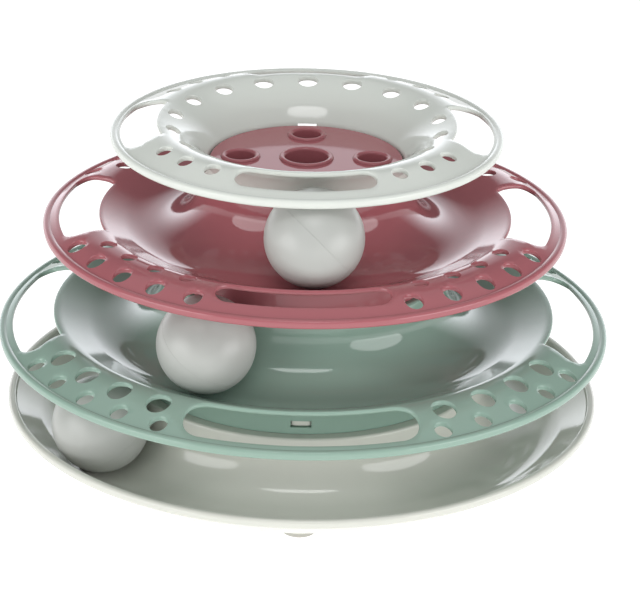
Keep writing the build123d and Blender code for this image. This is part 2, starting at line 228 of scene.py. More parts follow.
def curved_slot(inner, outer, half_deg, side):
    """A slot along an arc with round ends: two arcs about the axis and two half circles."""
    middle, half_width = (inner + outer) / 2, (outer - inner) / 2
    span = np.radians(half_deg) - np.arcsin(half_width / middle)
    along = np.linspace(-span, span, int(2 * span * middle / edge_step))
    cap = np.linspace(0, np.pi, cap_points + 2)[1:-1]
    spoke = np.concatenate([along, span + cap, along[::-1] + np.pi, -span + np.pi + cap])
    place = np.concatenate([along, np.full(len(cap), span), along[::-1], np.full(len(cap), -span)])
    turn = np.radians(side)
    outward = np.stack([np.cos(spoke + turn), np.sin(spoke + turn)], 1)
    line = middle * np.stack([np.cos(place + turn), np.sin(place + turn)], 1)
    return line + outward * half_width, outward


def side_opening(inner, outer, inner_deg, outer_deg, side):
    """A flared sector with rounded corners, drawn on the unrolled ring and then wrapped round it."""
    middle = (inner + outer) / 2
    wide, narrow = np.radians(outer_deg) * middle, np.radians(inner_deg) * middle
    corners = [(0, outer), (wide, outer), (narrow, inner), (-narrow, inner), (-wide, outer), (0, outer)]
    corner_radii = [ear_corner, ear_foot_corner, ear_foot_corner, ear_corner]
    line = spaced(rounded(corners, corner_radii, corner_step), edge_step)[:-1]
    turn = line[:, 0] / middle + np.radians(side)
    edge = line[:, 1:] * np.stack([np.cos(turn), np.sin(turn)], 1)
    along = np.roll(edge, -1, axis=0) - np.roll(edge, 1, axis=0)
    outward = np.stack([along[:, 1], -along[:, 0]], 1)
    return edge, outward / np.linalg.norm(outward, axis=1)[:, None]


# %% [markdown]
# ## Pierced sheets
# A plain grid can't follow the edges of the openings. So the flat pattern is cut into triangles between
# those edges, and every edge gets a lip of its own, a half round carried along it. Boolean cuts would
# give the same outline, but with hard edges and ragged shading.

# %% Pierced sheets
fill_step, fill_clear = 2.2, 0.8
cut_tolerance, least_rise = 1e-7, 1e-12


def inside(points, outline):
    """Even-odd rule: a point is inside when a ray to its right crosses the outline an odd number of times."""
    first, second = outline, np.roll(outline, -1, axis=0)
    height = points[:, 1:]
    crossed = (first[:, 1] > height) != (second[:, 1] > height)
    rise = second[:, 1] - first[:, 1]
    rise = np.where(np.abs(rise) < least_rise, least_rise, rise)
    meets = first[:, 0] + (height - first[:, 1]) * (second[:, 0] - first[:, 0]) / rise
    return (crossed & (points[:, :1] < meets)).sum(1) % 2 == 1


def fill_points(rings, outlines):
    """Points on rings, every second ring half a step on, that lie clear of the outlines."""
    fill = []
    for index, ring in enumerate(rings):
        count = int(2 * np.pi * ring / fill_step)
        turn = (np.arange(count) + 0.5 * (index % 2)) * 2 * np.pi / count
        fill.append(ring * np.stack([np.cos(turn), np.sin(turn)], 1))
    fill = np.vstack(fill)
    for outline in outlines:
        reach = np.abs(outline - outline.mean(0)).max() + fill_step
        near = np.abs(fill - outline.mean(0)).max(1) < reach
        spread = fill[near][:, None] - outline[None]
        clear = np.ones(len(fill), bool)
        clear[near] = np.sqrt((spread**2).sum(-1)).min(1) > fill_clear
        clear[near] &= ~inside(fill[near], outline)
        fill = fill[clear]
    return fill


def pierced(rings, angles, openings, top, under, lip_steps=5):
    """Upper and lower skin of a flange between its first and last ring, and a lip round each opening.

    The flat pattern is filled with rings of points, cut into triangles, and lifted to the heights
    top(r) and under(r). A lip's points swing from the upper to the lower face on a half ellipse.
    """
    spokes = np.stack([np.cos(angles), np.sin(angles)], 1)
    inner_edge, outer_edge = spokes * rings[0], spokes * rings[-1]
    outlines = [edge + outward * lip for edge, outward, lip in openings]
    loops = [inner_edge, outer_edge] + outlines
    starts = np.cumsum([0] + [len(loop) for loop in loops])
    spans = [np.arange(len(loop)) for loop in loops]
    joins = [np.stack([span, np.roll(span, -1)], 1) + start for span, start in zip(spans, starts)]
    exact = np.vstack(loops)
    flat = np.vstack([exact, fill_points(rings[1:-1], outlines)])
    found = geometry.delaunay_2d_cdt(flat.tolist(), np.vstack(joins).tolist(), [], 0, cut_tolerance)
    flat, faces = np.array(found[0]), np.array(found[2])
    middle = flat[faces].mean(1)
    keep = inside(middle, outer_edge) & ~inside(middle, inner_edge)
    for outline in outlines:
        keep &= ~inside(middle, outline)
    faces = faces[keep]
    flat[: len(exact)] = exact
    radius = np.hypot(*flat.T)
    sheets = [(np.column_stack([flat, top(radius)]), faces)]
    sheets.append((np.column_stack([flat, under(radius)]), faces[:, ::-1]))
    swing = np.linspace(np.pi / 2, -np.pi / 2, lip_steps + 1)
    for (edge, outward, lip), outline in zip(openings if lip_steps else [], outlines):
        place = outline[:, None] - (outward * lip)[:, None] * np.cos(swing)[None, :, None]
        radius = np.hypot(place[..., 0], place[..., 1])
        high, low = top(radius), under(radius)
        height = (high + low) / 2 + (high - low) / 2 * np.sin(swing)
        points = np.concatenate([place, height[..., None]], -1)
        sheets.append((points, quads(len(outline), lip_steps + 1, flip=True)))
    return sheets


# %% [markdown]
# ## The base dish
# The base is one turned wall: hub, ball track, rising rim. Its section follows the CAD one, with a softer
# corner at the hub's foot: the wall is 2 mm thick and the rim ends in a small bead that stiffens it. Two
# lugs on the hub's spigot snap into windows in the next tier, and four bosses carry the feet.

# %% Shared sizes in millimetres
wall, slip_gap = 2.0, 0.3
base_floor, level_pitch = 5.5, 43.0
lower_floor, middle_floor = base_floor + level_pitch, base_floor + 2 * level_pitch
green_collar, red_collar, ring_collar = 71.0, 56.0, 41.5
base_seat, green_seat, red_seat = 31.0, 74.5, 115.0
window_low, window_high, window_half_width = 3.0, 5.8, 4.1
ring_sill, ring_lintel = red_seat + 1.6, red_seat + 5.9
both_sides, front_back = (0, 180), (90, 270)
turn_count, first_turn = 360, -np.pi / 4
around = np.linspace(0, 2 * np.pi, turn_count, endpoint=False) + first_turn
hub_rounds = [1.0, 0.25, 1.2]
print("track floors in millimetres:", base_floor, lower_floor, middle_floor)


def hub_corners(collar, hub, flare, seat, spigot_height, floor):
    """Corners of a hub's upper face from its middle out: top, spigot, seat for the next collar, flank."""
    spigot, top = collar - wall - slip_gap, seat + spigot_height
    return [(0, top), (spigot, top), (spigot, seat), (hub, seat), (hub + flare, floor)]


def lug_block(collar, sill, side):
    """A snap lug: a box with softened edges, as a superellipsoid x = a cos^e(v) cos^e(u) and so on."""
    half_deep, half_wide, half_tall, lift, softness = 1.65, 3.8, 1.1, 1.4, 0.25
    turns, rows = 32, 17
    u, v = np.linspace(-np.pi, np.pi, turns, endpoint=False), np.linspace(-np.pi / 2, np.pi / 2, rows)
    soft = lambda wave: np.sign(wave) * np.abs(wave) ** softness
    deep = half_deep * np.outer(soft(np.cos(u)), soft(np.cos(v)))
    wide = half_wide * np.outer(soft(np.sin(u)), soft(np.cos(v)))
    tall = half_tall * np.broadcast_to(soft(np.sin(v)), deep.shape)
    turn = np.radians(side)
    out = collar - wall / 2 - half_deep + deep
    across, along = out * np.cos(turn) - wide * np.sin(turn), out * np.sin(turn) + wide * np.cos(turn)
    return np.stack([across, along, tall + sill + lift], -1), quads(len(u), len(v), flip=True)


def foot_place(side):
    """Where a foot pad stands, in millimetres: the middle of its CAD box, at floor level."""
    low, high = np.array(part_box(f"foot_pad_{side}")) / mm
    return np.array([*(low + high)[:2] / 2, 0.0])


# %% Base skin
tall_spigot, base_hub, base_flare = 10.5, 75.3, 1.6
base_corners = hub_corners(green_collar, base_hub, base_flare, base_seat, tall_spigot, base_floor)
base_corners += [(103.0, base_floor), (120.2, 18.4)]
base_foot_round, base_track_round = 18.0, 22.0
base_rounds = hub_rounds + [base_foot_round, base_track_round]
base_top = rounded(base_corners, base_rounds)
base_under = rounded(underside(base_corners, wall), under_radii(base_corners, base_rounds, wall))
base_rim = [(117.6, 16.45), (118.5, 17.1), (118.7, 19.2), (121.9, 19.2)]
base_rim += [(121.9, 15.6), (119.8, 15.6), (118.6, 14.7)]
base_rim = rounded(base_rim, [0.5, 1.2, 1.3, 1.3, 0.5], small_arc_step)
base_line = np.vstack([base_top[:-1], base_rim, base_under[-2::-1]])
base_line[0, 0] = base_line[-1, 0] = 0
base_sheets = [(turned(base_line, around), quads(len(around), len(base_line)))]
base_sheets += [lug_block(green_collar, base_seat + window_low, side) for side in front_back]
foot_sides = ("right", "back", "left", "front")
foot_points = 64
foot_turn = np.linspace(0, 2 * np.pi, foot_points, endpoint=False)
boss_radius, boss_top, boss_foot, boss_rounds, boss_step = 8.0, 4.2, 2.05, [0.2, 0.5], 15.0
boss_line = [(0, boss_top), (boss_radius, boss_top), (boss_radius, boss_foot), (0, boss_foot)]
boss_line = rounded(boss_line, boss_rounds, boss_step)
boss_faces = quads(len(foot_turn), len(boss_line))
base_sheets += [(turned(boss_line, foot_turn) + foot_place(side), boss_faces) for side in foot_sides]
base_tray = made_piece("base_tray_skin", base_sheets)

# %% [markdown]
# ## Collar windows
# Under each tier a collar slips over the hub below, and two small windows in it hold the lugs. A window
# is a few cells taken out of the turned grid, with the cut closed through the wall, so its edges stay
# as crisp as in the moulding.


# %% Collar windows
def windowed(line, angles, rows, window_deg, sides):
    """A turned skin whose wall is opened at two sides between two pairs of line points.

    rows gives the line's indices of the outer face from top to bottom and of the inner face from
    bottom to top. The cells between them go, and the cut edges are closed through the wall.
    """
    count, length = len(angles), len(line)
    faces = quads(count, length)
    column, turn = faces[:, 0] % length, faces[:, 0] // length
    outer, inner = np.array(rows[0]), np.array(rows[1])[::-1]
    in_rows = (column >= outer[0]) & (column < outer[-1])
    in_rows |= (column >= inner[-1]) & (column < inner[0])
    closing = []
    gone = np.zeros(len(faces), bool)
    for side in sides:
        edges = np.array([[side - window_deg], [side + window_deg]])
        first, last = np.argmin(np.abs(np.degrees(angles) - edges), axis=1)
        gone |= in_rows & (turn >= first) & (turn < last)
        spot = np.arange(first, last)
        for row, flip in ((0, True), (-1, False)):
            strip = np.stack([spot * length + outer[row], (spot + 1) * length + outer[row]], 1)
            back = np.stack([(spot + 1) * length + inner[row], spot * length + inner[row]], 1)
            cell = np.hstack([strip, back])
            closing.append(cell[:, ::-1] if flip else cell)
        for spot, flip in ((first, False), (last, True)):
            cell = spot * length + np.stack([outer[:-1], outer[1:], inner[1:], inner[:-1]], 1)
            closing.append(cell[:, ::-1] if flip else cell)
    return turned(line, angles), np.vstack([faces[~gone]] + closing)


def window_angles(collar, sides):
    """Half a window's angle on a collar, and the shared angles with the nearest ones on its edges."""
    half_deg = np.degrees(np.arcsin(window_half_width / collar))
    angles = around.copy()
    for side in sides:
        for edge in np.radians([side - half_deg, side + half_deg]):
            angles[np.argmin(np.abs(angles - edge))] = edge
    return half_deg, angles


# %% [markdown]
# ## The green and red tiers
# Both tiers are the same kind of moulding in two sizes: a collar that slips over the hub below, a
# track, a hub, and a domed flange pierced by two rows of holes, a slot at the front and back and a wide
# opening at each side. One function makes both.

# %% Tier skins
bead_width, ring_step = 2.8, 1.8
low_step, fine_step, collar_step = 8.0, 1.0, 15.0
hub_clear, flange_clear, bead_clear = 3.0, 1.2, 0.3
tier_rounds = [20.0, 22.0, 10.0, 22.0]


def bead(rim, height, top_point, under_point):
    """The rim's rounded edge, from the flange's upper face round to its lower face."""
    rise, shoulder_rise, shoulder, drop = 1.7, 1.85, 1.9, 1.8
    corners = [top_point, (rim - shoulder, height + shoulder_rise), (rim, height + rise)]
    corners += [(rim, height - drop), (under_point[0], height - drop), under_point]
    return rounded(corners, [1.5, 1.3, 1.3, 0.5], small_arc_step)


def collar_line(collar, foot, join):
    """A collar from the track's lower face down its outside, round its foot and up its bore again.

    join(r) is the point of the track's lower face at radius r. Returns the line and the numbers of
    the points between which the windows lie.
    """
    bore, root, root_round, edge_round, margin = collar - wall, 0.8, 0.6, 0.5, 0.1
    sill, lintel = foot + window_low, foot + window_high
    skirt = [join(collar + root), join(collar), (collar, lintel + margin)]
    skirt = rounded(skirt, [root_round], collar_step)
    hem = [(collar, sill - margin), (collar, foot), (bore, foot), (bore, sill - margin)]
    hem = rounded(hem, [edge_round, edge_round], collar_step)
    lining = [(bore, lintel + margin), join(bore), join(bore - root)]
    lining = rounded(lining, [root_round], collar_step)
    outer_pair, inner_pair = [(collar, lintel), (collar, sill)], [(bore, sill), (bore, lintel)]
    first = len(skirt)
    second = first + 2 + len(hem)
    line = np.vstack([skirt, outer_pair, hem, inner_pair, lining])
    return line, np.array([[first, first + 1], [second, second + 1]])


def tier_sheets(corners, rim, rim_height, collar, foot, sides, flange_start, openings, disc=0.0):
    """Top skin, pierced flange, rim bead, lower skin and collar of one tier."""
    window_deg, angles = window_angles(collar, sides)
    rounds = hub_rounds + tier_rounds
    low_corners, low_rounds = underside(corners, wall), under_radii(corners, rounds, wall)
    top, low = rounded(corners, rounds), rounded(low_corners, low_rounds, low_step)
    fine_top = rounded(corners, rounds, fine_step)
    fine_low = rounded(low_corners, low_rounds, fine_step)
    track_start = corners[4][0] + hub_clear
    outer_top = fine_top[np.argmax(fine_top[:, 0] > track_start):]
    outer_low = fine_low[np.argmax(fine_low[:, 0] > track_start):]
    top_height = lambda radius: np.interp(radius, *outer_top.T)
    low_height = lambda radius: np.interp(radius, *outer_low.T)
    flange_end = rim - bead_width
    head = top[: np.argmax(top[:, 0] > flange_start)]
    head = np.vstack([head, [(flange_start, top_height(flange_start))]])
    head[0, 0] = disc
    sheets = [(turned(head, angles), quads(len(angles), len(head)))]
    rings = np.arange(flange_start + flange_clear, flange_end - bead_clear, ring_step)
    rings = np.concatenate([[flange_start], rings, [flange_end]])
    sheets += pierced(rings, angles, openings, top_height, low_height)
    upper_end, lower_end = (flange_end, top_height(flange_end)), (flange_end, low_height(flange_end))
    edge = bead(rim, rim_height, upper_end, lower_end)
    sheets.append((turned(edge, angles), quads(len(angles), len(edge))))
    tail = low[: np.argmax(low[:, 0] > flange_start)][::-1]
    tail = np.vstack([[(flange_start, low_height(flange_start))], tail])
    skirt, rows = collar_line(collar, foot, lambda radius: (radius, low_height(radius)))
    outside, within = tail[tail[:, 0] > skirt[0, 0]], tail[tail[:, 0] < skirt[-1, 0]]
    line = np.vstack([outside, skirt, within])
    line[-1, 0] = disc
    sheets.append(windowed(line, angles, rows + len(outside), window_deg, sides))
    return sheets


def four_ways(angles):
    """Angles in the first quadrant, mirrored into all four."""
    angles = np.asarray(angles)
    return np.concatenate([angles, 180 - angles, 180 + angles, 360 - angles])


def hole_row(radius, diameter, count, step, lip=0.38, quadrant_middle=45):
    """A short row of holes about the middle of each quadrant, step degrees apart."""
    row = quadrant_middle + step * (np.arange(count) - (count - 1) / 2)
    return [(*round_hole(radius, angle, diameter), lip) for angle in four_ways(row)]


# %% Green tier
wide_lip, green_hub, green_flare = 0.7, 58.2, 1.2
lower_corners = hub_corners(red_collar, green_hub, green_flare, green_seat, tall_spigot, lower_floor)
lower_corners += [(84.2, lower_floor), (101.0, 55.8), (107.0, 55.8), (123.3, 48.9)]
lower_slot = dict(inner=102.2, outer=119.8, half_deg=23.4)
lower_ear = dict(inner=102.7, outer=119.3, inner_deg=19.5, outer_deg=22.5)
lower_openings = hole_row(radius=118.1, diameter=6.8, count=5, step=8.9)
lower_openings += hole_row(radius=109.0, diameter=9.4, count=4, step=10.0)
lower_openings += [(*curved_slot(**lower_slot, side=side), wide_lip) for side in front_back]
lower_openings += [(*side_opening(**lower_ear, side=side), wide_lip) for side in both_sides]
lower_sheets = tier_sheets(
    lower_corners, rim=125.0, rim_height=47.9, collar=green_collar, foot=base_seat, sides=front_back,
    flange_start=99.0, openings=lower_openings,
)
lower_sheets += [lug_block(red_collar, green_seat + window_low, side) for side in both_sides]
lower_track = made_piece("lower_track_skin", lower_sheets)

# %% [markdown]
# ## Sockets in the red tier
# The red hub's flat top carries five short tubes with rolled rims, for plug-in toys. The disc is a
# pierced sheet too, but here each opening gets a tube in place of a lip.

# %% Red tier
disc_edge = 36.0
middle_bore, side_bore, side_circle = (8.55, 11.0), (5.6, 8.0), 26.6
tube_length, rim_rise, tube_root = 12.0, 1.1, 0.5
tube_points, tube_step, tube_rounds = 56, 14.0, [0.4, 0.4, 0.4, 1.15, 1.05, 0.15]
disc_rings = np.concatenate([[3.0], np.arange(5.0, disc_edge, 2.5), [disc_edge]])
short_spigot, red_hub, red_flare = 5.5, 43.0, 1.0


def socket_sheets(disc_top, angles):
    """The hub's flat top with five tubes: the middle one wide, the others on a circle round it."""
    tubes = [(0.0, 0.0, *middle_bore)]
    turns = np.radians([0, 90, 180, 270])
    tubes += [(side_circle * np.cos(turn), side_circle * np.sin(turn), *side_bore) for turn in turns]
    spokes = np.linspace(0, 2 * np.pi, tube_points, endpoint=False)
    ring = np.stack([np.cos(spokes), np.sin(spokes)], 1)
    foot, rim = disc_top - tube_length, disc_top + rim_rise
    openings, sheets = [], []
    for x, y, bore, outside in tubes:
        openings.append((np.array([x, y]) + ring * outside, ring, tube_root))
        corners = [(outside + tube_root, disc_top - wall), (outside, disc_top - wall), (outside, foot)]
        corners += [(bore, foot), (bore, rim), (outside, rim), (outside, disc_top)]
        corners += [(outside + tube_root, disc_top)]
        line = rounded(corners, tube_rounds, tube_step)
        sheets.append((turned(line, spokes) + np.array([x, y, 0]), quads(len(spokes), len(line))))
    level = lambda height: (lambda radius: np.full(np.shape(radius), height))
    skins = pierced(disc_rings, angles, openings, level(disc_top), level(disc_top - wall), lip_steps=0)
    return sheets + skins


middle_corners = hub_corners(ring_collar, red_hub, red_flare, red_seat, short_spigot, middle_floor)
middle_corners += [(69.2, middle_floor), (85.8, 99.1), (95.0, 99.1), (104.6, 94.2)]
middle_slot = dict(inner=85.8, outer=98.2, half_deg=21.0)
middle_ear = dict(inner=83.7, outer=99.7, inner_deg=18.8, outer_deg=20.2)
middle_openings = hole_row(radius=98.6, diameter=7.2, count=5, step=10.0)
middle_openings += hole_row(radius=88.6, diameter=6.2, count=4, step=10.0)
middle_openings += [(*curved_slot(**middle_slot, side=side), wide_lip) for side in front_back]
middle_openings += [(*side_opening(**middle_ear, side=side), wide_lip) for side in both_sides]
middle_sheets = tier_sheets(
    middle_corners, rim=106.3, rim_height=93.2, collar=red_collar, foot=green_seat, sides=both_sides,
    flange_start=80.5, openings=middle_openings, disc=disc_edge,
)
middle_sheets += socket_sheets(middle_corners[0][1], window_angles(red_collar, both_sides)[1])
middle_sheets += [lug_block(ring_collar, ring_sill, side) for side in front_back]
middle_track = made_piece("middle_track_skin", middle_sheets)

# %% [markdown]
# ## The pale top ring
# The top ring is an open bowl: a collar, a steep bowl wall with a ring of ovals, a nearly flat crest and
# a flange that slopes down over the red track. Its wall is too steep for a flat pattern, so the wall is
# a turned skin, and only the crest and the flange are pierced.

# %% Top ring skin
ring_bore, bowl_foot = ring_collar - wall, 121.0
top_corners = [(ring_bore, red_seat), (ring_bore, bowl_foot), (47.5, 132.5), (61.0, 137.5), (77.3, 131.6)]
top_rounds = [4.0, 25.0, 14.0]
ring_rim, ring_rim_height, crest_start, crest_clear = 79.0, 130.6, 49.2, 0.8
slim_lip, oval_lip = 0.6, 0.3
oval_circle, oval_width, oval_length, oval_count, first_oval = 54.0, 5.6, 8.2, 18, 90
oval_angles = first_oval + np.arange(oval_count) * 360 / oval_count
ovals = [round_hole(oval_circle, angle, oval_width, oval_length) for angle in oval_angles]
top_slot = dict(inner=60.0, outer=71.3, half_deg=24.0)
top_ear = dict(inner=60.3, outer=75.0, inner_deg=18.5, outer_deg=23.0)
top_openings = hole_row(radius=66.0, diameter=6.0, count=3, step=12.0)
top_openings += [(*oval, oval_lip) for oval in ovals]
top_openings += [(*curved_slot(**top_slot, side=side), slim_lip) for side in front_back]
top_openings += [(*side_opening(**top_ear, side=side), slim_lip) for side in both_sides]


def bowl_wall(line, rows):
    """One face of the bowl wall from its foot up: close rows at the window, every few points above it."""
    stride = 4
    foot, upper = line[line[:, 1] < rows[0]], line[line[:, 1] > rows[-1]][::stride]
    window = np.column_stack([np.interp(rows, line[:, 1], line[:, 0]), rows])
    return foot, window, upper


def ring_sheets():
    """Bowl wall with its two windows, pierced flange and rim bead."""
    window_deg, angles = window_angles(ring_collar, front_back)
    face = rounded(top_corners, top_rounds, fine_step)
    back_rounds = under_radii(top_corners, top_rounds, wall)
    back = rounded(underside(top_corners, wall), back_rounds, fine_step)
    end, foot_clear, window_rows = ring_rim - bead_width, 0.5, 9
    outer_face = face[face[:, 1] > bowl_foot + foot_clear]
    outer_back = back[(back[:, 1] > bowl_foot) | (back[:, 0] > crest_start + crest_clear)]
    top_height = lambda radius: np.interp(radius, *outer_face.T)
    low_height = lambda radius: np.interp(radius, *outer_back.T)
    rows = np.linspace(ring_sill, ring_lintel, window_rows)
    foot, window, upper = bowl_wall(back[back[:, 0] < crest_start], rows)
    outer_wall = np.vstack([foot, window, upper, [(crest_start, low_height(crest_start))]])[::-1]
    top_row = 1 + len(upper)
    foot, window, upper = bowl_wall(face[face[:, 0] < crest_start], rows)
    inner_wall = np.vstack([foot, window, upper, [(crest_start, top_height(crest_start))]])
    low_row = len(outer_wall) + len(foot)
    numbers = top_row + np.arange(len(rows)), low_row + np.arange(len(rows))
    sheets = [windowed(np.vstack([outer_wall, inner_wall]), angles, numbers, window_deg, front_back)]
    rings = np.arange(crest_start + crest_clear, end - crest_clear, ring_step)
    rings = np.concatenate([[crest_start], rings, [end]])
    sheets += pierced(rings, angles, top_openings, top_height, low_height)
    edge = bead(ring_rim, ring_rim_height, (end, top_height(end)), (end, low_height(end)))
    sheets.append((turned(edge, angles), quads(len(angles), len(edge))))
    return sheets


top_ring = made_piece("top_ring_skin", ring_sheets())

# %% [markdown]
# ## Balls and feet
# Each ball is two half shells with a fine seam between them. A half is a turned line as well: a
# quarter circle that rolls over into the seam and back along the inside. A plain sphere would lack the
# seam. The seam planes are tilted as the balls lie in the photograph, and the CAD boxes give the places.

# %% Balls
ball_radius, ball_wall, seam_round, half_seam = 19.5, 1.6, 0.09, 0.01
ball_points = 160
ball_tilts = {"ball_low": (30.0, -25.0), "ball_mid": (20.7, 30.3), "ball_high": (-23.1, 43.6)}


def half_shell():
    """Outer quarter circle, a rolled seam edge just above the seam plane and the inner quarter circle."""
    inner_radius, roll_start_deg = ball_radius - ball_wall, 20
    outer_points, roll_points, inner_points = 46, 7, 14
    outer = np.linspace(np.pi / 2, np.arcsin((half_seam + seam_round) / ball_radius), outer_points)
    roll = np.linspace(np.radians(roll_start_deg), -np.pi / 2, roll_points)
    inner = np.linspace(np.arcsin(half_seam / inner_radius), np.pi / 2, inner_points)
    edge = np.array([ball_radius - seam_round, half_seam + seam_round])
    line = np.vstack([
        ball_radius * np.stack([np.cos(outer), np.sin(outer)], 1),
        edge + seam_round * np.stack([np.cos(roll), np.sin(roll)], 1),
        inner_radius * np.stack([np.cos(inner), np.sin(inner)], 1),
    ])
    line[0, 0] = line[-1, 0] = 0
    return line


def ball_piece(body, tilt):
    """Two half shells, turned to the seam's tilt and moved to the middle of the CAD halves' box."""
    boxes = np.array([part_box(f"{body}_half_{half}") for half in "ab"]) / mm
    centre = (boxes[:, 0].min(0) + boxes[:, 1].max(0)) / 2
    line = half_shell()
    turn = np.linspace(0, 2 * np.pi, ball_points, endpoint=False)
    shell = turned(line, turn)
    upside = shell * np.array([1, -1, -1])
    tip, roll = np.radians(tilt)
    tilts = np.array(Matrix.Rotation(tip, 3, "X") @ Matrix.Rotation(roll, 3, "Y"))
    faces = quads(len(turn), len(line))
    return made_piece(f"{body}_shell", [(half @ tilts.T + centre, faces) for half in (shell, upside)])


ball_pieces = {body: ball_piece(body, tilt) for body, tilt in ball_tilts.items()}

# %% Foot pads
pad_radius, pad_height, pad_rounds, pad_step = 7.0, 2.0, [0.25, 0.7], 9.0
pad_line = [(0, pad_height), (pad_radius, pad_height), (pad_radius, 0), (0, 0)]
pad_line = rounded(pad_line, pad_rounds, pad_step)
pad_grid, pad_faces = turned(pad_line, foot_turn), quads(len(foot_turn), len(pad_line))
pads = {}
for side in foot_sides:
    pads[side] = made_piece(f"foot_pad_{side}_skin", [(pad_grid + foot_place(side), pad_faces)])

# %% [markdown]
# ## Plastics
# The mouldings are glossy: the colour runs through the plastic and shifts only a little as it flowed
# in the mould, and the polish varies faintly. Noise on Object coordinates gives both, and a very fine
# bump keeps reflections from looking computed. The balls are satin, and the feet are dull and grainy.

# %% Materials
flow_scale, flow_detail = 14.0, 3.0
polish_scale, polish_detail = 60.0, 4.0
bump_depth, plastic_ior = 0.0004, 1.5


def plastic(name, colour, tint_spread, rough, rough_spread, bump, grain):
    """Principled plastic: two close tints mixed by slow noise, polish varied by finer noise, fine bump."""
    material = bpy.data.materials.new(name)
    material.use_nodes = True
    nodes, links = material.node_tree.nodes, material.node_tree.links
    shader = nodes["Principled BSDF"]
    place = nodes.new("ShaderNodeTexCoord")
    flow = nodes.new("ShaderNodeTexNoise")
    flow.inputs["Scale"].default_value = flow_scale
    flow.inputs["Detail"].default_value = flow_detail
    tint = nodes.new("ShaderNodeMix")
    tint.data_type = "RGBA"
    first_tint, second_tint = tint.inputs[6], tint.inputs[7]
    first_tint.default_value = (*colour, 1)
    second_tint.default_value = (*np.multiply(colour, tint_spread), 1)
    polish = nodes.new("ShaderNodeTexNoise")
    polish.inputs["Scale"].default_value = polish_scale
    polish.inputs["Detail"].default_value = polish_detail
    spread = nodes.new("ShaderNodeMapRange")
    spread.inputs["To Min"].default_value = rough - rough_spread
    spread.inputs["To Max"].default_value = rough + rough_spread
    fine = nodes.new("ShaderNodeTexNoise")
    fine.inputs["Scale"].default_value = grain
    lift = nodes.new("ShaderNodeBump")
    lift.inputs["Strength"].default_value = bump
    lift.inputs["Distance"].default_value = bump_depth
    for texture in (flow, polish, fine):
        links.new(place.outputs["Object"], texture.inputs["Vector"])
    links.new(flow.outputs["Fac"], tint.inputs[0])
    links.new(tint.outputs[2], shader.inputs["Base Color"])
    links.new(polish.outputs["Fac"], spread.inputs["Value"])
    links.new(spread.outputs["Result"], shader.inputs["Roughness"])
    links.new(fine.outputs["Fac"], lift.inputs["Height"])
    links.new(lift.outputs["Normal"], shader.inputs["Normal"])
    shader.inputs["IOR"].default_value = plastic_ior
    return material


gloss = dict(tint_spread=1.06, rough_spread=0.015, bump=0.015, grain=900.0)
satin = dict(tint_spread=1.04, rough_spread=0.03, bump=0.03, grain=1400.0)
dull = dict(tint_spread=1.2, rough_spread=0.08, bump=0.2, grain=1200.0)
base_finish = plastic("pale_grey_plastic", (0.625, 0.63, 0.57), rough=0.08, **gloss)
green_finish = plastic("mint_green_plastic", (0.262, 0.38, 0.315), rough=0.07, **gloss)
red_finish = plastic("berry_red_plastic", (0.362, 0.114, 0.129), rough=0.07, **gloss)
top_finish = plastic("pale_ring_plastic", (0.655, 0.685, 0.635), rough=0.08, **gloss)
ball_finish = plastic("satin_ball_plastic", (0.44, 0.45, 0.425), rough=0.33, **satin)
foot_finish = plastic("soft_foot_rubber", (0.42, 0.41, 0.37), rough=0.6, **dull)
print("finishes:", [material.name for material in bpy.data.materials])

# %% [markdown]
# ## Pieces on their bodies
# Every skin rides on the CAD body it belongs to and stands for the CAD nodes under it, so a joint that
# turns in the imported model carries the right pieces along.

# %% Put the pieces on their bodies
dressed = [
    (base_tray, "tower", ["base_tray"], "base_plastic", base_finish),
    (lower_track, "tower", ["lower_track"], "green_plastic", green_finish),
    (middle_track, "tower", ["middle_track"], "red_plastic", red_finish),
    (top_ring, "tower", ["top_ring"], "pale_plastic", top_finish),
]
for body, piece in ball_pieces.items():
    dressed.append((piece, body, [f"{body}_half_a", f"{body}_half_b"], "ball_plastic", ball_finish))
for side, piece in pads.items():
    dressed.append((piece, "tower", [f"foot_pad_{side}"], "foot_rubber", foot_finish))
for piece, body, nodes, slot, finish in dressed:
    piece.data.materials.append(finish)
    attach(piece, body)
    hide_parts(*nodes)
print("pieces:", len(dressed))

# %% [markdown]
# ## Floor and surround
# A pale floor and a bright plain surround, as in a small product studio. The floor glows a little, so
# that it stays white in the picture and still takes the toy's soft shadow. The surround is white to the
# camera. It lights the toy mostly from the front, and what the glossy plastic mirrors of it fades from
# the bright paper low at the back of the studio to the darker room above and around the camera.

# %% Floor
floor_half, paper_grey, paper_glow, paper_rough = 6.0, 0.55, 0.82, 0.9
floor_mesh = bpy.data.meshes.new("studio_floor")
floor_corners = [(-floor_half, -floor_half, 0), (floor_half, -floor_half, 0)]
floor_corners += [(floor_half, floor_half, 0), (-floor_half, floor_half, 0)]
floor_mesh.from_pydata(floor_corners, [], [(0, 1, 2, 3)])
floor = bpy.data.objects.new("studio_floor", floor_mesh)
bpy.context.scene.collection.objects.link(floor)
paper = bpy.data.materials.new("white_paper")
paper.use_nodes = True
paper_shader = paper.node_tree.nodes["Principled BSDF"]
paper_shader.inputs["Base Color"].default_value = (paper_grey, paper_grey, paper_grey, 1)
paper_shader.inputs["Roughness"].default_value = paper_rough
paper_shader.inputs["Specular IOR Level"].default_value = 0.0
paper_shader.inputs["Emission Color"].default_value = (1, 1, 1, 1)
paper_shader.inputs["Emission Strength"].default_value = paper_glow
floor_mesh.materials.append(paper)
print("floor side in metres:", 2 * floor_half)

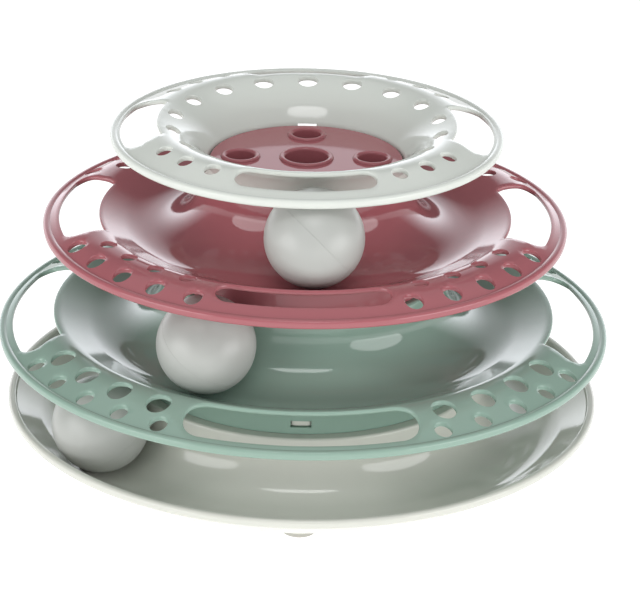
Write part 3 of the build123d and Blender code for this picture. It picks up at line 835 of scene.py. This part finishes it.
# %% Surround
front_fill, back_fill = 0.78, 0.14
room_gleam, paper_gleam = 0.2, 2.6
gleam_start, gleam_full, height_weight = 0.3, 0.8, -1.05
world = bpy.data.worlds.new("studio_surround")
bpy.context.scene.world = world
world.use_nodes = True
tree = world.node_tree
surround = tree.nodes["Background"]
surround.inputs["Color"].default_value = (0.97, 0.98, 1.0, 1)
backdrop = tree.nodes.new("ShaderNodeBackground")
backdrop.inputs["Strength"].default_value = 1.0
mirrored = tree.nodes.new("ShaderNodeBackground")
mirrored.inputs["Color"].default_value = (0.93, 0.955, 1.0, 1)
way = tree.nodes.new("ShaderNodeTexCoord")
depth = tree.nodes.new("ShaderNodeSeparateXYZ")
fill = tree.nodes.new("ShaderNodeMapRange")
fill.inputs["From Min"].default_value, fill.inputs["From Max"].default_value = -1.0, 1.0
fill.inputs["To Min"].default_value, fill.inputs["To Max"].default_value = front_fill, back_fill
lower = tree.nodes.new("ShaderNodeMath")
lower.operation = "MULTIPLY_ADD"
lower.inputs[1].default_value = height_weight
fade = tree.nodes.new("ShaderNodeMapRange")
fade.inputs["From Min"].default_value, fade.inputs["From Max"].default_value = gleam_start, gleam_full
fade.inputs["To Min"].default_value, fade.inputs["To Max"].default_value = room_gleam, paper_gleam
rays = tree.nodes.new("ShaderNodeLightPath")
seen = tree.nodes.new("ShaderNodeMath")
seen.operation = "MAXIMUM"
choose = tree.nodes.new("ShaderNodeMixShader")
choose_mirrored = tree.nodes.new("ShaderNodeMixShader")
wires = [
    (way, "Generated", depth, 0),
    (depth, "Y", fill, "Value"),
    (fill, "Result", surround, "Strength"),
    (depth, "Z", lower, 0),
    (depth, "Y", lower, 2),
    (lower, 0, fade, "Value"),
    (fade, "Result", mirrored, "Strength"),
    (rays, "Is Camera Ray", seen, 0),
    (rays, "Is Transmission Ray", seen, 1),
    (rays, "Is Glossy Ray", choose_mirrored, 0),
    (surround, 0, choose_mirrored, 1),
    (mirrored, 0, choose_mirrored, 2),
    (seen, 0, choose, 0),
    (choose_mirrored, 0, choose, 1),
    (backdrop, 0, choose, 2),
    (choose, 0, tree.nodes["World Output"], "Surface"),
]
for source, outlet, sink, inlet in wires:
    tree.links.new(source.outputs[outlet], sink.inputs[inlet])
print("surround wires:", len(wires))

# %% [markdown]
# ## Lamps
# Four soft boxes light the toy: a wide one above, a slim one high in front, whose gleam shows on the
# bowl's back wall, and one low on each side, whose gleams show on the hubs. Area lamps give soft shadows
# and a true mirror image of each box in the gloss.

# %% Lamps
lamp_target = Vector((0, 0, 0.06))
above_place, front_place = (0.0, 0.1, 1.35), (0.0, -0.62, 1.0)
left_place, right_place = (-0.76, -0.5, 0.13), (0.76, -0.5, 0.13)


def soft_lamp(name, place, wide, tall, power):
    """A round or oval soft box that faces the tower: its axis is the line from its place to the target."""
    light = bpy.data.lights.new(name, "AREA")
    light.shape = "ELLIPSE"
    light.size, light.size_y = wide, tall
    light.energy = power
    lamp = bpy.data.objects.new(name, light)
    lamp.location = place
    lamp.rotation_mode = "QUATERNION"
    lamp.rotation_quaternion = (lamp_target - Vector(place)).to_track_quat("-Z", "Y")
    bpy.context.scene.collection.objects.link(lamp)
    print(f"{name}: {power} W, {wide} by {tall} m")


soft_lamp("lamp_above", above_place, wide=2.2, tall=2.2, power=4.6)
soft_lamp("lamp_front", front_place, wide=0.66, tall=0.18, power=1.5)
soft_lamp("lamp_left", left_place, wide=0.72, tall=0.5, power=3.3)
soft_lamp("lamp_right", right_place, wide=0.72, tall=0.5, power=3.3)

# %% [markdown]
# ## Camera
# The photograph was taken with a long lens from a little above the toy. Its focal length, height and
# tilt were fitted to the ellipses of the rims, and the shift places the toy in the frame as it lies there.

# %% Camera
picture_width, focal_pixels = 640, 2810.6
shift_pixels, roll_deg = (16.45, -5.53), 1.1736
elevation_deg, distance, target = 23.25, 1.1584, Vector((0, 0, 0.05805))
camera_data = bpy.data.cameras.new("photo_camera")
camera_data.sensor_width = 36.0
camera_data.lens = focal_pixels * camera_data.sensor_width / picture_width
camera_data.shift_x, camera_data.shift_y = np.array(shift_pixels) / picture_width
camera_data.clip_start, camera_data.clip_end = 0.05, 40.0
camera = bpy.data.objects.new("photo_camera", camera_data)
bpy.context.scene.collection.objects.link(camera)
elevation = np.radians(elevation_deg)
camera.location = target + distance * Vector((0, -np.cos(elevation), np.sin(elevation)))
camera.rotation_mode = "QUATERNION"
aim = (target - camera.location).to_track_quat("-Z", "Y")
camera.rotation_quaternion = aim @ Matrix.Rotation(np.radians(roll_deg), 3, "Z").to_quaternion()
bpy.context.scene.camera = camera
bpy.context.scene.view_settings.view_transform = "Standard"
print("lens in millimetres:", round(camera_data.lens, 2))
